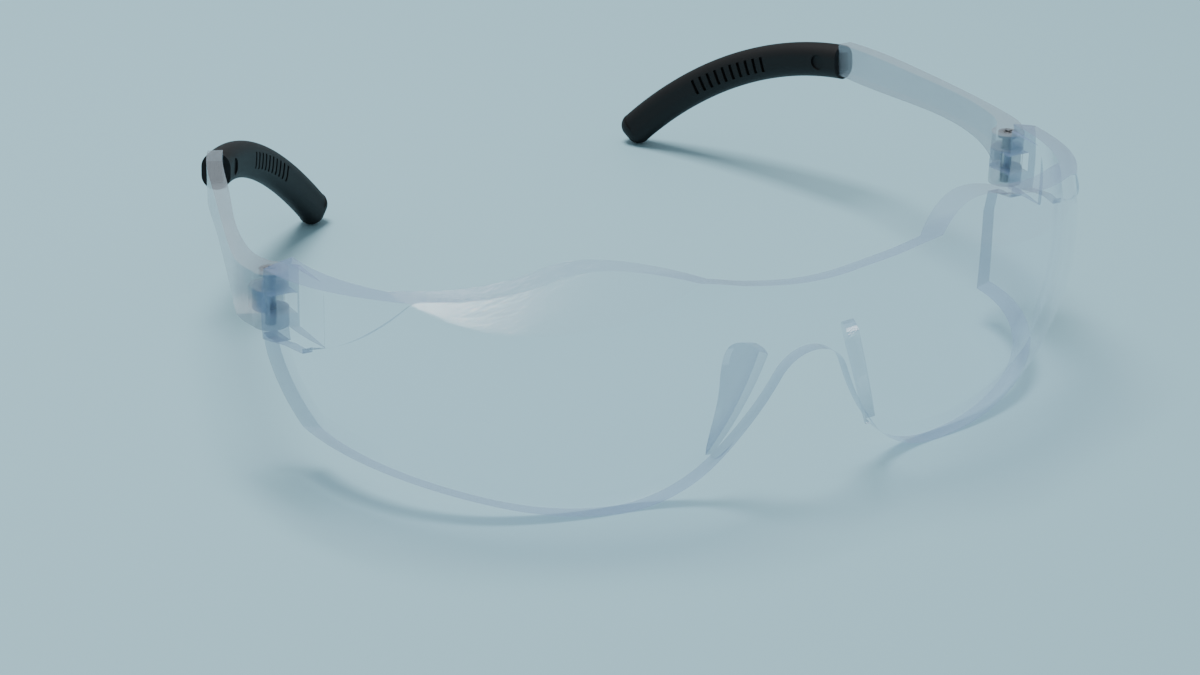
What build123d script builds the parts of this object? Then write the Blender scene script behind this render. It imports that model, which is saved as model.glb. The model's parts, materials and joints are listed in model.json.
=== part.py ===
from build123d import *
from math import cos, radians, sin
import os

# Safety glasses: one-piece wrap lens, two folding temples, two rubber sleeves, two hinge screws.
# Millimetres. The wearer looks along -Y, +Z is up, and both hinge axes stand on y = 0 while building.

# ---- lens: outside sizes
hinge_half_span = 70.3      # lens centre to each hinge axis
lens_height = 40.9          # floor to the highest point of the brow
lens_wall = 2.3
face_past_hinge = 1.1       # the lens face stands this far outside the hinge axis
dome_centre_x = 24.6        # middle of an eye dome
dome_ahead = 2.9            # dome centre in front of the hinge axes
brow_above_dome = 12.9      # brow above the dome centre
bridge_step = 2.3           # bridge face behind the front of the domes
bridge_flat = 6.57          # half width of the flat bridge face
facet_forward = 0.53        # brow facet: forward tilt for each unit up
facet_out = 0.3             # brow facet: outward tilt for each unit up
facet_depth = 16.9          # how deep the facet plane cuts into the dome
wing_flare = 2.4            # temple wing: how far its ball is moved outward
wing_back = 2.6             # and back
# ---- lens: hinge corners and nose
block_depth = 10.5          # hinge corner, front to back
block_width = 9.0           # before the wing's ball trims it
block_gap = 1.1             # corner face to the turning knuckles
nose_arch_top = 24.5
nose_half_width = 16.0      # half opening between the pad ends
pad_depth = 6.0
pad_thickness = 1.9
# ---- hinge
brow_above_hinge = 7.2      # brow above the upper ear
barrel_height = 9.3
barrel_radius = 2.9
lug_height = 3.4            # lens knuckle between the two ears
face_gap = 0.12             # knuckle faces, each side
screw_radius = 0.9
screw_clearance = 0.05      # screw shank in the lens lug
screw_head_radius = 1.65
screw_head_height = 0.9
# ---- temples and sleeves
arm_reach = 60.1            # hinge axis to the sleeve mouth, measured along Y
arm_thickness = 2.6
arm_height = 6.1
arm_splay = 5.8             # how far the mouth stands outside the hinge axis
arm_drop = 6.1              # sleeve mouth below the upper ear
tang_length = 12.5
sleeve_side_wall = 1.25     # rubber beside the tang
sleeve_wall = 1.4           # rubber above and below the tang
sleeve_height = 6.6
sleeve_reach = 44.6         # mouth to the centre of the tip, along Y
sleeve_turn_in = 19.4       # tip centre inside the mouth
tip_height = 3.05           # tip centre above the floor
slot_count = 10
slot_pitch = 2.0
slot_height = 3.0
slot_width = 0.7
slot_depth = 0.6
left_fold = 20.56           # the left temple is turned in by this angle, degrees
# ---- frame origin: middle of the plan outline, on the floor
origin_x = 2.5
origin_y = 29.04

dome_radius = hinge_half_span + face_past_hinge - dome_centre_x
dome_centre_y = -dome_ahead
dome_centre_z = lens_height - brow_above_dome
bridge_front = dome_radius + dome_ahead - bridge_step
hinge_top = lens_height - brow_above_hinge
barrel_bottom = hinge_top - barrel_height
lug_bottom = barrel_bottom + (barrel_height - lug_height) / 2
lug_top = lug_bottom + lug_height
mouth_z = hinge_top - arm_drop
tang_height = sleeve_height - 2 * sleeve_wall
sleeve_width = arm_thickness + 2 * sleeve_side_wall


# ---------------------------------------------------------------- lens
def lens_solid(inset):
    """Two ball-shaped domes and a flat-faced saddle, turned about the line through both dome centres.

    A brow facet cuts each dome. The inset moves every surface in by the same amount.
    """
    radius = dome_radius - inset
    half = dome_centre_x
    across = half - bridge_flat
    waist = dome_radius - bridge_step
    hollow_radius = (across ** 2 + waist ** 2 - dome_radius ** 2) / (2 * bridge_step)
    round_in = hollow_radius + inset
    share = round_in / (dome_radius + hollow_radius)
    touch_x = bridge_flat + across * share
    touch_y = (waist + hollow_radius) * (1 - share)
    with BuildPart() as turned:
        with BuildSketch(Plane.XY):
            with BuildLine():
                Line((0, 0), (0, waist - inset))
                level = Line((0, waist - inset), (bridge_flat, waist - inset))
                hollow = RadiusArc(level @ 1, (touch_x, touch_y), -round_in)
                ball = RadiusArc(hollow @ 1, (half + radius, 0), radius)
                Line(ball @ 1, (0, 0))
            make_face()
            mirror(about=Plane.YZ)
        revolve(axis=Axis.X)
    with BuildPart() as cut:
        add(turned.part.moved(Location((0, dome_centre_y, dome_centre_z))))
        for side in (-1, 1):
            facing = Vector(side * facet_out, -facet_forward, 1).normalized()
            middle = Vector(side * half, dome_centre_y, dome_centre_z)
            with Locations(Plane(origin=middle + facing * (dome_radius - facet_depth - inset), z_dir=facing)):
                Box(120, 120, 40, align=(Align.CENTER, Align.CENTER, Align.MIN), mode=Mode.SUBTRACT)
    return cut.part


def temple_wing(side, inner):
    """Flared band that runs from the brow back to the hinge and stands proud of the dome."""
    rear = -barrel_radius - block_gap
    start = -dome_ahead - dome_radius * sin(radians(40))
    middle = -dome_ahead - dome_radius * sin(radians(29))
    with BuildPart() as wing:
        with Locations((side * (dome_centre_x + wing_flare), dome_centre_y + wing_back, dome_centre_z)):
            Sphere(dome_radius)
        with BuildSketch(Plane.YZ):
            with BuildLine():
                front = ThreePointArc((start, lens_height + 1), (middle, lens_height - 9.3),
                                      (rear - block_depth, barrel_bottom + 1.6))
                Polyline(front @ 1, (rear, barrel_bottom - 0.4), (rear, lens_height + 1), front @ 0)
            make_face()
        extrude(amount=side * 90, mode=Mode.INTERSECT)
        add(inner, mode=Mode.SUBTRACT)
    return wing.part


def front_outline():
    """Front view of the lens: brow on top, nose arch and the two eye bottoms below."""
    top = lens_height
    eye = dome_centre_x
    edge = hinge_half_span
    with BuildPart() as block:
        with BuildSketch(Plane.XZ):
            with BuildLine():
                dip = TangentArc((0, top - 5.1), (eye - 9.1, top - 2.7), tangent=(1, 0))
                peak = TangentArc(dip @ 1, (eye + 6.4, top), tangent=dip % 1)
                fall = TangentArc(peak @ 1, (eye + 16.4, top - 1.1), tangent=peak % 1)
                hollow = TangentArc(fall @ 1, (edge - 12.3, top - 3.3), tangent=fall % 1)
                corner = TangentArc(hollow @ 1, (edge + 2.7, top - 5.3), tangent=hollow % 1)
                arch = TangentArc((0, nose_arch_top), (6, nose_arch_top - 3.9), tangent=(1, 0))
                flank = TangentArc(arch @ 1, (nose_half_width - 1, 6.5), tangent=arch % 1)
                sole = TangentArc(flank @ 1, (nose_half_width + 14, 0), tangent=flank % 1)
                rise = TangentArc(sole @ 1, (edge - 22.3, 2.6), tangent=sole % 1)
                cheek = TangentArc(rise @ 1, (edge - 4.3, 7), tangent=rise % 1)
                Polyline(corner @ 1, (edge + 14.7, top - 8.2), (edge + 14.7, 11.4), cheek @ 1)
                Line(arch @ 0, dip @ 0)
            make_face()
            mirror(about=Plane.YZ)
        extrude(amount=90, both=True)
    return block.part


def side_outline():
    """Side view of the lens: everything in front of its rear edge."""
    with BuildPart() as block:
        with BuildSketch(Plane.YZ):
            with BuildLine():
                rear = ThreePointArc((-16, -6), (-2.2, 8), (2.1, barrel_bottom - 5.9))
                Polyline(rear @ 1, (2.1, barrel_bottom - 2.2),
                         (-barrel_radius - block_gap, barrel_bottom - 1.5),
                         (-barrel_radius - block_gap, lens_height + 6), (-80, lens_height + 6),
                         (-80, -6), rear @ 0)
            make_face()
        extrude(amount=90, both=True)
    return block.part


def hinge_corner(side):
    """Thick corner at the brow end, flush with the wing, and the lug that stands between the ears."""
    face_y = -barrel_radius - block_gap
    with BuildPart() as corner:
        with BuildSketch(Plane.XY.offset(barrel_bottom + 0.8)):
            with Locations((side * (hinge_half_span - barrel_radius + block_width / 2),
                            face_y - block_depth / 2)):
                Rectangle(block_width, block_depth)
        extrude(amount=barrel_height + 1)
        fillet(corner.edges().filter_by(Axis.Z), radius=1.2)
        with Locations((side * (dome_centre_x + wing_flare), dome_centre_y + wing_back, dome_centre_z)):
            Sphere(dome_radius, mode=Mode.INTERSECT)
        with BuildSketch(Plane.XY.offset(lug_bottom)):
            with Locations((side * hinge_half_span, 0)):
                Circle(barrel_radius)
            with Locations((side * (hinge_half_span - 0.4), face_y / 2 - 0.4)):
                Rectangle(2 * barrel_radius - 1.4, -face_y + 0.8)
        extrude(amount=lug_height)
    return corner.part


def nose_pad(side):
    """Leaf-shaped flange that runs back from the nose edge of the lens."""
    root = Plane(origin=(side * (nose_half_width - 7.6), 1.8 - bridge_front, nose_arch_top - 0.9),
                 x_dir=(side * 6.6, 3.6, -17.6), z_dir=(0.93, side * -0.36, side * 0.275))
    rear = 1 if root.y_dir.Y > 0 else -1
    with BuildPart() as pad:
        with BuildSketch(root):
            with BuildLine():
                Spline((0.2, -0.7 * rear), (-1.2, 0.45 * pad_depth * rear), (1.0, pad_depth * rear),
                       (8, 0.72 * pad_depth * rear), (14, 0.42 * pad_depth * rear),
                       (18.6, 0.4 * rear), (16.5, -0.7 * rear), (8, -0.75 * rear), periodic=True)
            make_face()
        extrude(amount=pad_thickness / 2, both=True)
    return pad.part


def lens():
    outer = lens_solid(0)
    inner = lens_solid(lens_wall)
    with BuildPart() as body:
        add(outer)
        add(inner, mode=Mode.SUBTRACT)
        for side in (-1, 1):
            add(temple_wing(side, inner))
        add(front_outline(), mode=Mode.INTERSECT)
        add(side_outline(), mode=Mode.INTERSECT)
        for side in (-1, 1):
            add(hinge_corner(side))
            add(nose_pad(side))
        with Locations((-hinge_half_span, 0, lug_bottom), (hinge_half_span, 0, lug_bottom)):
            Cylinder(screw_radius + screw_clearance, lug_height * 3, mode=Mode.SUBTRACT)
    return body.part


# ---------------------------------------------------------------- temple and sleeve (right side)
def sleeve_line():
    """Centre line of the sleeve: a start, a middle and an end point of one arc, mouth to tip."""
    mouth_x = hinge_half_span + arm_splay
    drop = mouth_z - tip_height
    return [(mouth_x, arm_reach, mouth_z),
            (mouth_x - 0.41 * sleeve_turn_in, arm_reach + 0.54 * sleeve_reach, mouth_z - 0.30 * drop),
            (mouth_x - sleeve_turn_in, arm_reach + sleeve_reach, tip_height)]


def arm_plan():
    """Plan view of the arm: hinge barrel, outward elbow and the strip back into the sleeve."""
    x = hinge_half_span
    half = arm_thickness / 2
    mouth_x = x + arm_splay
    with BuildPart() as plan:
        with BuildSketch(Plane.XY):
            with BuildLine():
                outer = Spline((x + 0.48 * barrel_radius, -0.76 * barrel_radius),
                               (x + barrel_radius + 1.7, 2.6), (x + barrel_radius + 2.8, 9),
                               (mouth_x + half, 36),
                               (mouth_x + half, arm_reach),
                               (mouth_x + half - 3.1, arm_reach + tang_length))
                inner = Spline((mouth_x - half - 2.3, arm_reach + tang_length - 0.8),
                               (mouth_x - half, arm_reach), (mouth_x - half, 36),
                               (x + barrel_radius + 2.7 - arm_thickness, 10),
                               (x + barrel_radius + 1.3 - arm_thickness, 5.6),
                               (x - 0.62 * barrel_radius, 0.69 * barrel_radius))
                Line(outer @ 1, inner @ 0)
                Line(inner @ 1, outer @ 0)
            make_face()
            with Locations((x, 0)):
                Circle(barrel_radius)
        extrude(amount=lens_height + 5)
    return plan.part


def arm_side():
    """Side view of the arm: deep at the hinge, slim along the strip, slimmer in the sleeve."""
    low = mouth_z + 0.8 - arm_height / 2
    top = mouth_z + 0.8 + arm_height / 2
    with BuildPart() as side:
        with BuildSketch(Plane.YZ):
            with BuildLine():
                upper = Spline((-4, hinge_top), (8, hinge_top), (30, hinge_top - 0.5), (arm_reach, top))
                tang = Polyline(upper @ 1, (arm_reach, mouth_z + tang_height / 2),
                                (arm_reach + tang_length, mouth_z - 2.4 + tang_height / 2),
                                (arm_reach + tang_length, mouth_z - 2.4 - tang_height / 2),
                                (arm_reach, mouth_z - tang_height / 2), (arm_reach, low))
                lower = Spline(tang @ 1, (36, hinge_top - 0.6 - arm_height), (17, hinge_top - arm_height),
                               (9, hinge_top - arm_height - 1.2), (4.5, barrel_bottom))
                Line(lower @ 1, (-4, barrel_bottom))
                Line((-4, barrel_bottom), upper @ 0)
            make_face()
        extrude(amount=hinge_half_span + 30)
    return side.part


def temple():
    x = hinge_half_span
    with BuildPart() as arm:
        add(arm_plan())
        add(arm_side(), mode=Mode.INTERSECT)
        with BuildSketch(Plane.XY.offset(lug_bottom - face_gap)):
            with Locations((x, 0)):
                Circle(barrel_radius + 0.5)
            with Locations((x - 4, -1.5)):
                Rectangle(8 + 2 * barrel_radius, 2 * barrel_radius + 2)
        extrude(amount=lug_height + 2 * face_gap, mode=Mode.SUBTRACT)
        with Locations((x, 0, hinge_top)):
            Cylinder(screw_head_radius + 0.1, screw_head_height, mode=Mode.SUBTRACT,
                     align=(Align.CENTER, Align.CENTER, Align.MAX))
        with Locations((x, 0, barrel_bottom)):
            Cylinder(screw_radius, lug_bottom - barrel_bottom, mode=Mode.SUBTRACT,
                     align=(Align.CENTER, Align.CENTER, Align.MIN))
        with Locations((x, 0, lug_top)):
            Cylinder(screw_radius + screw_clearance, barrel_height, mode=Mode.SUBTRACT,
                     align=(Align.CENTER, Align.CENTER, Align.MIN))
    return arm.part


def station(path, t):
    """Section plane on the centre line, with local x level and local y upward."""
    along = path % t
    level = along.cross(Vector(0, 0, 1)).normalized()
    return Plane(origin=path @ t, x_dir=level, z_dir=along)


def sleeve(arm):
    with BuildLine() as rail:
        ThreePointArc(*sleeve_line())
    path = rail.edges()[0]
    with BuildPart() as rubber:
        with BuildSketch(station(path, 0)):
            SlotOverall(sleeve_height, sleeve_width, rotation=90)
        sweep(path=path)
        with BuildSketch(station(path, 1)):
            SlotOverall(sleeve_height, sleeve_width, rotation=90)
            Rectangle(sleeve_width, sleeve_height, align=(Align.MIN, Align.CENTER), mode=Mode.SUBTRACT)
        revolve(axis=Axis(path @ 1, station(path, 1).y_dir), revolution_arc=180)
        for n in range(slot_count):
            at = station(path, 0.34 + n * slot_pitch / path.length)
            with Locations(Location(at) * Location((-sleeve_width / 2, 0, 0))):
                Box(2 * slot_depth, slot_height, slot_width, mode=Mode.SUBTRACT)
        mark = station(path, 4.6 / path.length)
        with Locations(Location(mark) * Location((-sleeve_width / 2, 0, 0), (0, 90, 0))):
            Cylinder(1.5, 0.7, mode=Mode.SUBTRACT)
        add(arm, mode=Mode.SUBTRACT)
    return rubber.part


def screw():
    x = hinge_half_span
    with BuildPart() as pin:
        with BuildSketch(Plane.XY.offset(barrel_bottom + 0.1)):
            with Locations((x, 0)):
                Circle(screw_radius)
        extrude(amount=barrel_height - 0.1 - screw_head_height)
        with BuildSketch(Plane.XY.offset(hinge_top - screw_head_height)):
            with Locations((x, 0)):
                Circle(screw_head_radius)
        extrude(amount=screw_head_height)
        with Locations((x, 0, hinge_top)):
            Box(2 * screw_head_radius - 0.8, 0.45, 0.8, mode=Mode.SUBTRACT)
            Box(0.45, 2 * screw_head_radius - 0.8, 0.8, mode=Mode.SUBTRACT)
    return pin.part


# ---------------------------------------------------------------- assembly
os.makedirs("parts", exist_ok=True)
to_origin = Location((-origin_x, -origin_y, 0))
fold = Location((-hinge_half_span, 0, 0)) * Location((0, 0, 0), (0, 0, -left_fold)) \
    * Location((hinge_half_span, 0, 0))


arm = temple()
rubber = sleeve(arm)
pin = screw()

with BuildPart() as lens_piece:
    add(lens().moved(to_origin))
lens_piece.part.label = "lens"
export_step(lens_piece.part, "parts/lens.step")

with BuildPart() as right_temple:
    add(arm.moved(to_origin))
right_temple.part.label = "right_temple"
export_step(right_temple.part, "parts/right_temple.step")

with BuildPart() as right_sleeve:
    add(rubber.moved(to_origin))
right_sleeve.part.label = "right_sleeve"
export_step(right_sleeve.part, "parts/right_sleeve.step")

with BuildPart() as right_hinge_screw:
    add(pin.moved(to_origin))
right_hinge_screw.part.label = "right_hinge_screw"
export_step(right_hinge_screw.part, "parts/right_hinge_screw.step")

with BuildPart() as left_temple:
    add(arm.mirror(Plane.YZ).moved(to_origin * fold))
left_temple.part.label = "left_temple"
export_step(left_temple.part, "parts/left_temple.step")

with BuildPart() as left_sleeve:
    add(rubber.mirror(Plane.YZ).moved(to_origin * fold))
left_sleeve.part.label = "left_sleeve"
export_step(left_sleeve.part, "parts/left_sleeve.step")

with BuildPart() as left_hinge_screw:
    add(pin.mirror(Plane.YZ).moved(to_origin * fold))
left_hinge_screw.part.label = "left_hinge_screw"
export_step(left_hinge_screw.part, "parts/left_hinge_screw.step")
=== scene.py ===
import bpy
import json
import math
from mathutils import Matrix, Vector


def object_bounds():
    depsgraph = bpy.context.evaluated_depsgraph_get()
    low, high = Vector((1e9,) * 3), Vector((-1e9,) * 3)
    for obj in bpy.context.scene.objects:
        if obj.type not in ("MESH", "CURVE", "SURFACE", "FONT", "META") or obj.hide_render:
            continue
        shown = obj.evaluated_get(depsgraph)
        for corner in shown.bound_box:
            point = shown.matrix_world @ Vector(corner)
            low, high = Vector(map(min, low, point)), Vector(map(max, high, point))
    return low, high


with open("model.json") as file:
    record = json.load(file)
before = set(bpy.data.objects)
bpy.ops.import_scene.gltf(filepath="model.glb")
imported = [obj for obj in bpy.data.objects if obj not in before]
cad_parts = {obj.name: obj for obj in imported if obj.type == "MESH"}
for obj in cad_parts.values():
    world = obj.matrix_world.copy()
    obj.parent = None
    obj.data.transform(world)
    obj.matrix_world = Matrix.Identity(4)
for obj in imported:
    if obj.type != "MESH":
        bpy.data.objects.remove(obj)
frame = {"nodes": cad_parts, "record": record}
cad_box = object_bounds()

# ------------------------------------------------------------------ reference points
hinges = {j["name"]: Vector(j["pos_m"]) for j in frame["record"]["behaviour"]["joints"]}
mid_x = 0.5 * (hinges["left_hinge"].x + hinges["right_hinge"].x)
hinge_y = hinges["right_hinge"].y
dome_x, dome_ahead, dome_z = 0.0246, 0.0029, 0.0280   # the lens's two dome centres, as in the CAD
facet_out, facet_forward = 0.3, 0.53                  # the lean of its brow facets
rim_opacity, skin_opacity = 0.47, 0.008

WHITE = (1, 1, 1)
PLASTIC_IOR = 1.4
HEAD_ON_GLOSS, GRAZING_GLOSS, GLOSS_POWER = 0.025, 0.55, 4.0
FLOOR_HALF, FLOOR_DROP = 3, 0.00005                   # the floor lies just under the part
CAMERA_YAW, CAMERA_PITCH, CAMERA_ROLL = 30.0, 23.45, 1.22
CAMERA_FROM_HINGES = (-0.247788, -0.409718, 0.215657)


# ------------------------------------------------------------------ node helpers
def node_tree(name):
    mat = bpy.data.materials.new(name)
    mat.use_nodes = True
    mat.node_tree.nodes.clear()
    return mat, mat.node_tree


def add(nt, kind, **props):
    node = nt.nodes.new(kind)
    for key, value in props.items():
        setattr(node, key, value)
    return node


def noise_node(nt, scale, detail=None):
    node = add(nt, "ShaderNodeTexNoise")
    node.inputs["Scale"].default_value = scale
    if detail is not None:
        node.inputs["Detail"].default_value = detail
    return node.outputs["Fac"]


def tone_ramp(nt, factor, dark, light):
    """A colour that wanders between two close tones."""
    node = add(nt, "ShaderNodeValToRGB")
    node.color_ramp.elements[0].color = (*dark, 1)
    node.color_ramp.elements[1].color = (*light, 1)
    nt.links.new(factor, node.inputs["Fac"])
    return node.outputs["Color"]


def remap(nt, socket, low, high, to_low, to_high, kind="SMOOTHSTEP"):
    node = add(nt, "ShaderNodeMapRange", interpolation_type=kind)
    for key, value in (("From Min", low), ("From Max", high), ("To Min", to_low), ("To Max", to_high)):
        node.inputs[key].default_value = value
    nt.links.new(socket, node.inputs["Value"])
    return node.outputs["Result"]


def bump_node(nt, height, strength, distance):
    node = add(nt, "ShaderNodeBump")
    node.inputs["Strength"].default_value = strength
    node.inputs["Distance"].default_value = distance
    nt.links.new(height, node.inputs["Height"])
    return node.outputs["Normal"]


def math_node(nt, operation, first, second=None):
    node = add(nt, "ShaderNodeMath", operation=operation)
    for socket, value in zip(node.inputs, (first, second)):
        if value is None:
            continue
        if isinstance(value, (int, float)):
            socket.default_value = value
        else:
            nt.links.new(value, socket)
    return node.outputs["Value"]


def vector_node(nt, operation, output, first, second=None):
    node = add(nt, "ShaderNodeVectorMath", operation=operation)
    nt.links.new(first, node.inputs[0])
    if second is not None:
        nt.links.new(second, node.inputs[1])
    return node.outputs[output]


# ------------------------------------------------------------------ materials
def see_through(name, colour, share, roughness, ripple, tint):
    """Clear plastic seen as thin walls: unbent sight lines, a gloss that grows with the slant, and a
    milky body.

    share(nt, fac) gives the socket that says how much of the milky body shows.
    """
    mat, nt = node_tree(name)
    out = add(nt, "ShaderNodeOutputMaterial")
    fac = noise_node(nt, ripple, 3.0)
    rough = remap(nt, fac, 0.0, 1.0, roughness * 0.6, roughness * 1.5, "LINEAR")
    normal = bump_node(nt, fac, 0.06, 0.0002)

    clear = add(nt, "ShaderNodeBsdfTransparent")
    clear.inputs["Color"].default_value = (*tint, 1)
    mirror = add(nt, "ShaderNodeBsdfAnisotropic")
    mirror.inputs["Color"].default_value = (*WHITE, 1)
    nt.links.new(rough, mirror.inputs["Roughness"])
    nt.links.new(normal, mirror.inputs["Normal"])
    slant = add(nt, "ShaderNodeLayerWeight")
    slant.inputs["Blend"].default_value = 0.5
    grazing = math_node(nt, "POWER", slant.outputs["Facing"], GLOSS_POWER)
    skin = add(nt, "ShaderNodeMixShader")
    nt.links.new(remap(nt, grazing, 0.0, 1.0, HEAD_ON_GLOSS, GRAZING_GLOSS), skin.inputs["Fac"])
    nt.links.new(clear.outputs["BSDF"], skin.inputs[1])
    nt.links.new(mirror.outputs["BSDF"], skin.inputs[2])

    body = add(nt, "ShaderNodeBsdfPrincipled")
    body.inputs["IOR"].default_value = PLASTIC_IOR
    nt.links.new(tone_ramp(nt, fac, [0.93 * c for c in colour], colour), body.inputs["Base Color"])
    nt.links.new(rough, body.inputs["Roughness"])
    nt.links.new(normal, body.inputs["Normal"])

    mix = add(nt, "ShaderNodeMixShader")
    nt.links.new(share(nt, fac), mix.inputs["Fac"])
    nt.links.new(skin.outputs["Shader"], mix.inputs[1])
    nt.links.new(body.outputs["BSDF"], mix.inputs[2])
    nt.links.new(mix.outputs["Shader"], out.inputs["Surface"])
    return mat


def rim_share(nt, fac):
    """Cut edges, pads and hinge corners of the lens show; its skins and brow facets hardly do.

    A skin faces along the line from the nearest point between the dome centres.
    """
    geo = add(nt, "ShaderNodeNewGeometry")
    position, normal = geo.outputs["Position"], geo.outputs["True Normal"]
    parts = add(nt, "ShaderNodeSeparateXYZ")
    nt.links.new(position, parts.inputs["Vector"])
    along = add(nt, "ShaderNodeClamp")
    along.inputs["Min"].default_value = mid_x - dome_x
    along.inputs["Max"].default_value = mid_x + dome_x
    nt.links.new(parts.outputs["X"], along.inputs["Value"])
    centre = add(nt, "ShaderNodeCombineXYZ")
    centre.inputs["Y"].default_value = hinge_y - dome_ahead
    centre.inputs["Z"].default_value = dome_z
    nt.links.new(along.outputs["Result"], centre.inputs["X"])
    ray = vector_node(nt, "SUBTRACT", "Vector", position, centre.outputs["Vector"])
    unit = vector_node(nt, "NORMALIZE", "Vector", ray)
    slope = vector_node(nt, "DOT_PRODUCT", "Value", unit, normal)
    edge = remap(nt, math_node(nt, "ABSOLUTE", slope), 0.88, 0.95, 1.0, 0.0)

    side = math_node(nt, "SIGN", math_node(nt, "SUBTRACT", parts.outputs["X"], mid_x))
    brow = add(nt, "ShaderNodeCombineXYZ")
    nt.links.new(math_node(nt, "MULTIPLY", side, facet_out), brow.inputs["X"])
    brow.inputs["Y"].default_value = -facet_forward
    brow.inputs["Z"].default_value = 1.0
    brow_unit = vector_node(nt, "NORMALIZE", "Vector", brow.outputs["Vector"])
    brow_slope = vector_node(nt, "DOT_PRODUCT", "Value", brow_unit, normal)
    off_facet = remap(nt, math_node(nt, "ABSOLUTE", brow_slope), 0.95, 0.98, 1.0, 0.1)

    radius = vector_node(nt, "LENGTH", "Value", ray)
    outer = remap(nt, radius, 0.0405, 0.0450, 0.5, 1.0)   # the deep brow rim fades inwards
    shown = math_node(nt, "MULTIPLY", math_node(nt, "MULTIPLY", edge, off_facet), outer)
    return remap(nt, shown, 0.0, 1.0, skin_opacity, rim_opacity)


def even_share(low, high):
    """A milky body all over, a little uneven."""
    def share(nt, fac):
        return remap(nt, fac, 0.3, 0.7, low, high)
    return share


def soft_rubber(name):
    mat, nt = node_tree(name)
    out = add(nt, "ShaderNodeOutputMaterial")
    bsdf = add(nt, "ShaderNodeBsdfPrincipled")
    bsdf.inputs["Specular IOR Level"].default_value = 0.28
    coarse = noise_node(nt, 160, 4)
    colour = tone_ramp(nt, coarse, (0.004, 0.004, 0.0045), (0.010, 0.010, 0.011))
    nt.links.new(colour, bsdf.inputs["Base Color"])
    nt.links.new(remap(nt, coarse, 0.0, 1.0, 0.48, 0.68, "LINEAR"), bsdf.inputs["Roughness"])
    nt.links.new(bump_node(nt, noise_node(nt, 5200), 0.25, 0.0001), bsdf.inputs["Normal"])
    nt.links.new(bsdf.outputs["BSDF"], out.inputs["Surface"])
    return mat


def bright_steel(name):
    mat, nt = node_tree(name)
    out = add(nt, "ShaderNodeOutputMaterial")
    bsdf = add(nt, "ShaderNodeBsdfPrincipled")
    bsdf.inputs["Metallic"].default_value = 1.0
    fac = noise_node(nt, 2400)
    nt.links.new(tone_ramp(nt, fac, (0.40, 0.41, 0.42), (0.62, 0.63, 0.65)), bsdf.inputs["Base Color"])
    nt.links.new(remap(nt, fac, 0.0, 1.0, 0.22, 0.38, "LINEAR"), bsdf.inputs["Roughness"])
    nt.links.new(bsdf.outputs["BSDF"], out.inputs["Surface"])
    return mat


lens_mat = see_through("lens_clear", (0.25, 0.37, 0.58), rim_share, 0.05, 90, (0.985, 0.992, 1.0))
temple_mat = see_through("temple_clear", (0.42, 0.50, 0.57), even_share(0.30, 0.44), 0.16, 260,
                         (0.97, 0.985, 1.0))
rubber_mat = soft_rubber("sleeve_rubber")
steel_mat = bright_steel("screw_steel")
looks = {"lens": lens_mat, "left_temple": temple_mat, "right_temple": temple_mat,
         "left_sleeve": rubber_mat, "right_sleeve": rubber_mat,
         "left_hinge_screw": steel_mat, "right_hinge_screw": steel_mat}
for node, mat in looks.items():
    for slot in frame["nodes"][node].material_slots:
        slot.material = mat

# ------------------------------------------------------------------ floor
floor_z = cad_box[0][2] - FLOOR_DROP
corners = ((-1, -1), (1, -1), (1, 1), (-1, 1))
floor_mesh = bpy.data.meshes.new("floor")
floor_mesh.from_pydata([(FLOOR_HALF * x, FLOOR_HALF * y, floor_z) for x, y in corners], [], [(0, 1, 2, 3)])
floor = bpy.data.objects.new("floor", floor_mesh)
bpy.context.scene.collection.objects.link(floor)
floor_mat, nt = node_tree("floor_pale")
out = add(nt, "ShaderNodeOutputMaterial")
bsdf = add(nt, "ShaderNodeBsdfPrincipled")
bsdf.inputs["Roughness"].default_value = 0.6
colour = tone_ramp(nt, noise_node(nt, 9), (0.360, 0.625, 0.730), (0.385, 0.655, 0.760))
nt.links.new(colour, bsdf.inputs["Base Color"])
nt.links.new(bsdf.outputs["BSDF"], out.inputs["Surface"])
floor.data.materials.append(floor_mat)

# ------------------------------------------------------------------ light
world = bpy.data.worlds.new("studio")
bpy.context.scene.world = world
world.use_nodes = True
sky = world.node_tree.nodes["Background"]
sky.inputs["Color"].default_value = (0.86, 0.93, 0.97, 1)
sky.inputs["Strength"].default_value = 0.43

# one soft lamp overhead, a little behind the part, so that shadows fall under it and forwards
key_data = bpy.data.lights.new("key", "AREA")
key_data.shape = "RECTANGLE"
key_data.size, key_data.size_y = 0.40, 0.40
key_data.energy = 8.6
key_data.color = (1.0, 0.995, 0.99)
key = bpy.data.objects.new("key", key_data)
bpy.context.scene.collection.objects.link(key)
key.location = (-0.07, 0.21, 0.93)
key.rotation_euler = (-Vector(key.location)).to_track_quat("-Z", "Y").to_euler()

# ------------------------------------------------------------------ camera
yaw, pitch, roll = (math.radians(a) for a in (CAMERA_YAW, CAMERA_PITCH, CAMERA_ROLL))
fwd = Vector((math.sin(yaw) * math.cos(pitch), math.cos(yaw) * math.cos(pitch), -math.sin(pitch)))
level = Vector((math.cos(yaw), -math.sin(yaw), 0))
rise = level.cross(fwd)
right = level * math.cos(roll) + rise * math.sin(roll)
up = -level * math.sin(roll) + rise * math.cos(roll)
cam_data = bpy.data.cameras.new("camera")
cam_data.sensor_width = 36
cam_data.lens = 93.26
cam_data.clip_start = 0.01
cam = bpy.data.objects.new("camera", cam_data)
bpy.context.scene.collection.objects.link(cam)
place = Vector((mid_x, hinge_y, 0)) + Vector(CAMERA_FROM_HINGES)
cam.matrix_world = Matrix(((right.x, up.x, -fwd.x, place.x), (right.y, up.y, -fwd.y, place.y),
                           (right.z, up.z, -fwd.z, place.z), (0, 0, 0, 1)))
bpy.context.scene.camera = cam
